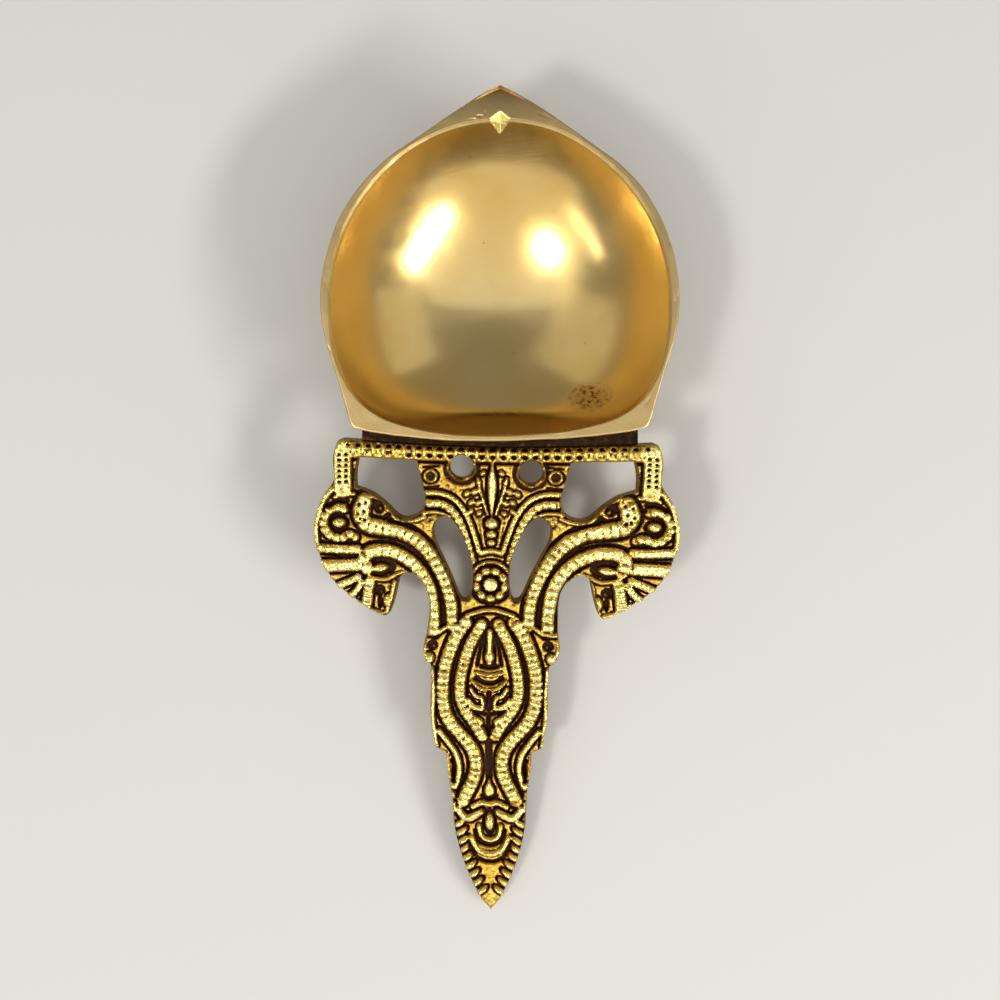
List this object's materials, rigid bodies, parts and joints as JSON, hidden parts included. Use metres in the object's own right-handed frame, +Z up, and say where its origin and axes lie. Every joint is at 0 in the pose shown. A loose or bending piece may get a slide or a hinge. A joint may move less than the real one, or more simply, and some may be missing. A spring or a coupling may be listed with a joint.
{
  "type": "diya oil lamp",
  "caption": "Cast brass hand diya: round oil bowl with a pointed wick lip and a flat back, and a pierced relief-cast handle for holding or hanging it.",
  "frame": {"origin": "centre of the bowl's flat foot, on the surface that the lamp stands on", "axes": "+Y from the handle towards the pointed wick lip, +Z up, +X to the right seen from above with the lip at the top"},
  "size_m": [0.0714, 0.1625, 0.022],
  "materials": {
    "polished_brass": "hand-polished inside, turned and filed rim",
    "antique_brass": "cast relief, bright on the high points with dark patina in the recesses",
    "brazing_brass": "oxidised brown, as brazed"
  },
  "bodies": {
    "root": {"bowl": "polished_brass", "handle_plate": "antique_brass", "braze_seam": "brazing_brass"}
  },
  "joints": []
}
